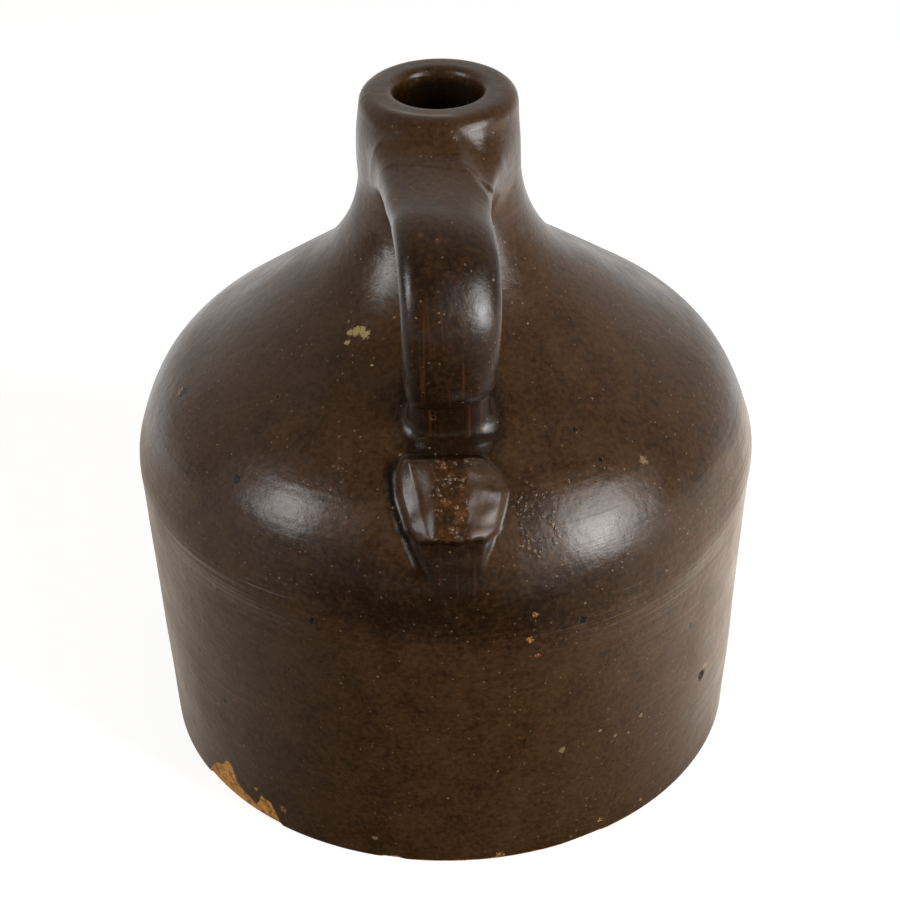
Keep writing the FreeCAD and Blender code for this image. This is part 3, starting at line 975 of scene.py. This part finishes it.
    shine = total(ramp(noise(place, 40.0, 4.0, 0.65), 0.3, 0.75, glaze.roughness - 0.07,
                       glaze.roughness + 0.10),
                  times(clay, 0.45), times(pale, 0.10), times(marks["scuff"], 0.4))
    return nodes.led_out(nodes.add("ShaderNodeBsdfPrincipled", {
        "Base Color": base, "Roughness": shine, "Normal": bump.outputs["Normal"],
        "Specular IOR Level": 0.28, "IOR": 1.5, "Coat Weight": 0.22, "Coat Roughness": 0.22,
        "Coat IOR": 1.4}))


# --- operators ----------------------------------------------------------------

def finished(piece, material):
    """Give a piece its glaze and hang it on the jug."""
    piece.data.materials.append(material)
    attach(piece, "root")


class JUG_OT_body(bpy.types.Operator):
    """Turn the body with its hollow, the pressed tail and the worn foot"""
    bl_idname = "jug.body"
    bl_label = "Body"

    def execute(self, context):
        scene = context.scene
        body, strap = scene.jug_body, scene.jug_strap
        points, looks = body_points(body, strap, scene.jug_tail, scene.jug_stage.seed)
        points = flowed(points, blend_reach(strap, points), to_body(body), to_strap(body, strap))
        x, y, up = np.moveaxis(points, -1, 0)
        around = np.arctan2(x, -y)
        looks["thrown"] = (0.55 + 1.1 * hump(up, ridge_height(body, around), 0.030)
                           + patches(around, up, RING_PLACES))
        # painted shade in the throat under the loop, round the landing
        at_landing = eased((0.020 - np.hypot(x, y + strap.landing_radius)) / 0.008)
        looks["thick"] = np.maximum(looks["thick"], np.where(up > 0.12, at_landing, 0.0))
        piece = shell("jug_body", points, looks)
        finished(piece, glaze_material(scene.jug_glaze, body))
        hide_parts("jug")
        return {"FINISHED"}


class JUG_OT_strap(bpy.types.Operator):
    """Pull the strap handle from the neck to its landing"""
    bl_idname = "jug.strap"
    bl_label = "Strap"

    def execute(self, context):
        scene = context.scene
        body, strap = scene.jug_body, scene.jug_strap
        sections = strap_sections(body, strap, STRAP_ROWS)
        points = strap_points(body, strap, sections)
        points = flowed(points, blend_reach(strap, points), to_strap(body, strap), to_body(body))
        run = sections["run"][:, None] / sections["run"][-1]
        looks = dict.fromkeys(("grit", "bare", "rusty", "pale", "thrown"), 0.0)
        # painted shade and painted dark reflection: the strap darkens from the loop's front down to
        # its landing
        looks["thick"] = 0.75 * eased((run - 0.30) / 0.25) + 0.25 * eased((run - 0.75) / 0.1)
        looks["streak"] = eased((run - 0.45) / 0.2)
        finished(shell("jug_strap", points, looks), bpy.data.materials["jug glaze"])
        return {"FINISHED"}


def sheet(name, half, front, back, height, material):
    """A level rectangle of the stage, from front to back along Y."""
    mesh = bpy.data.meshes.new(name)
    mesh.from_pydata([(-half, front, height), (half, front, height), (half, back, height),
                      (-half, back, height)], [], [(0, 1, 2, 3)])
    mesh.materials.append(material)
    piece = bpy.data.objects.new(name, mesh)
    bpy.context.scene.collection.objects.link(piece)
    return piece


def softbox(name, azimuth, elevation, distance, width, height, radiance, shape="RECTANGLE"):
    """A lamp aimed at the middle of the jug; azimuth runs from -Y towards +X in degrees.

    Its power is radiance times area times pi.
    """
    data = bpy.data.lights.new(name, "AREA")
    data.shape, data.size, data.size_y = shape, width, height
    data.energy = radiance * width * height * math.pi
    around, above = math.radians(azimuth), math.radians(elevation)
    toward = Vector((math.sin(around) * math.cos(above), -math.cos(around) * math.cos(above),
                     math.sin(above)))
    lamp = bpy.data.objects.new(name, data)
    lamp.location = Vector(LAMP_AIM) + toward * distance
    lamp.rotation_euler = toward.to_track_quat("Z", "Y").to_euler()
    bpy.context.scene.collection.objects.link(lamp)


class JUG_OT_stage(bpy.types.Operator):
    """Set up floor, lamps, surrounding light and camera"""
    bl_idname = "jug.stage"
    bl_label = "Stage"

    def execute(self, context):
        scene = context.scene
        stage = scene.jug_stage
        sheet("floor", FLOOR_REACH, -FLOOR_REACH, FLOOR_REACH, 0.0, floor_material(stage))
        card = sheet("dark_card", CARD_HALF, CARD_FRONT, stage.card_edge, CARD_HEIGHT,
                     card_material())
        card.visible_camera = card.visible_diffuse = card.visible_shadow = False

        softbox("right lamp", 55.0, 17.0, 1.2, 0.6, 1.0, stage.lamp * 0.8, "ELLIPSE")
        softbox("right core", 49.0, 13.0, 1.15, 0.26, 0.34, stage.lamp * 1.3, "ELLIPSE")
        softbox("left lamp", -63.0, 28.0, 1.2, 0.35, 0.5, stage.lamp * 1.35)

        scene.world = sky_world(stage)
        scene.view_settings.view_transform = "Standard"

        lens = bpy.data.cameras.new("camera")
        lens.lens, lens.sensor_width = stage.lens, 36.0
        camera = bpy.data.objects.new("camera", lens)
        turned = Matrix.Rotation(stage.turn, 3, "Z")
        place, aim = turned @ Vector(CAMERA_PLACE), turned @ Vector(CAMERA_AIM)
        forward = (aim - place).normalized()
        level = forward.cross(Vector((0, 0, 1))).normalized()
        above = level.cross(forward)
        cos, sin = math.cos(stage.roll), math.sin(stage.roll)
        right, top = level * cos + above * sin, above * cos - level * sin
        turn = Matrix((right, top, -forward)).transposed().to_4x4()
        camera.matrix_world = Matrix.Translation(place) @ turn
        scene.collection.objects.link(camera)
        scene.camera = camera
        return {"FINISHED"}


def sky_world(stage):
    """Even light from all round, brighter from above; mirrored, it is dark in front.

    The mirrored part rises from front to back, as it does in front of a dark room with a
    white backdrop behind.
    """
    nodes = Nodes(bpy.data.worlds.new("surroundings"))
    split = nodes.add("ShaderNodeSeparateXYZ", {
        0: nodes.add("ShaderNodeTexCoord").outputs["Generated"]})

    def grade(axis, low, high, from_value, to_value):
        """A value that changes evenly with the direction's share of an axis."""
        return nodes.add("ShaderNodeMapRange", {
            "Value": split.outputs[axis], "From Min": low, "From Max": high,
            "To Min": from_value, "To Max": to_value}).outputs[0]

    strength = nodes.add("ShaderNodeMix", {
        "Factor": nodes.add("ShaderNodeLightPath").outputs["Is Glossy Ray"],
        2: grade("Z", 0.0, 1.0, 0.5 * stage.sky, 1.4 * stage.sky),
        3: grade("Y", -0.15, 0.75, 0.02, 0.75)}).outputs[0]
    return nodes.led_out(nodes.add("ShaderNodeBackground", {
        "Color": (1.0, 0.95, 0.90, 1.0), "Strength": strength}), "ShaderNodeOutputWorld")


def floor_material(stage):
    """Pale floor, white to the camera and in reflections, with its shadow kept."""
    nodes = Nodes(bpy.data.materials.new("floor"))
    dull = nodes.add("ShaderNodeBsdfPrincipled", {
        "Base Color": rgba([FLOOR_SHADE * part for part in stage.backdrop]), "Roughness": 0.9,
        "Specular IOR Level": 0.0})
    path = nodes.add("ShaderNodeLightPath").outputs
    seen = nodes.math("MAXIMUM", path["Is Camera Ray"], nodes.math(
        "MAXIMUM", path["Is Glossy Ray"], path["Is Transmission Ray"]))
    glow = nodes.add("ShaderNodeEmission", {
        "Color": rgba(stage.backdrop), "Strength": nodes.times(seen, FLOOR_GLOW)})
    return nodes.led_out(nodes.add("ShaderNodeAddShader", {0: dull.outputs[0],
                                                           1: glow.outputs[0]}))


def card_material():
    """Card round the jug's foot, seen only in reflections: black in front, pale at the sides.

    Its brightness rises with the angle from the front, and more on the right.
    """
    nodes = Nodes(bpy.data.materials.new("card"))
    split = nodes.add("ShaderNodeSeparateXYZ", {
        0: nodes.add("ShaderNodeTexCoord").outputs["Object"]}).outputs
    angle = nodes.math("ARCTAN2", nodes.math("ABSOLUTE", split["X"]),
                       nodes.math("MULTIPLY", split["Y"], -1.0))
    return nodes.led_out(nodes.add("ShaderNodeEmission", {
        "Color": (1.0, 0.88, 0.76, 1.0),
        "Strength": nodes.times(nodes.ramp(angle, 0.15, 1.9, 0.02, 1.2),
                                nodes.ramp(split["X"], 0.0, 0.15, 0.60, 1.30))}))


class JUG_PT_panel(bpy.types.Panel):
    """Lists the pieces of the jug and their settings"""
    bl_idname = "JUG_PT_panel"
    bl_label = "Beehive jug"
    bl_space_type = "VIEW_3D"
    bl_region_type = "UI"
    bl_category = "Jug"

    def draw(self, context):
        layout = self.layout
        for step in OPERATORS:
            layout.operator(step.bl_idname)
        for name in SETTINGS:
            group = getattr(context.scene, name)
            box = layout.box()
            for key in group.__annotations__:
                box.prop(group, key)


OPERATORS = (JUG_OT_body, JUG_OT_strap, JUG_OT_stage)
SETTINGS = {
    "jug_body": JugBodySettings,
    "jug_strap": JugStrapSettings,
    "jug_tail": JugTailSettings,
    "jug_glaze": JugGlazeSettings,
    "jug_stage": JugStageSettings,
}


def register():
    """Register every class and hang the settings on the scene."""
    for group in (*SETTINGS.values(), *OPERATORS, JUG_PT_panel):
        bpy.utils.register_class(group)
    for name, group in SETTINGS.items():
        setattr(bpy.types.Scene, name, PointerProperty(type=group))


def unregister():
    """Undo register."""
    for name in SETTINGS:
        delattr(bpy.types.Scene, name)
    for group in reversed((*SETTINGS.values(), *OPERATORS, JUG_PT_panel)):
        bpy.utils.unregister_class(group)


def main():
    """Make the jug and its stage."""
    register()
    bpy.ops.jug.body()
    bpy.ops.jug.strap()
    bpy.ops.jug.stage()


if __name__ == "__main__":
    main()
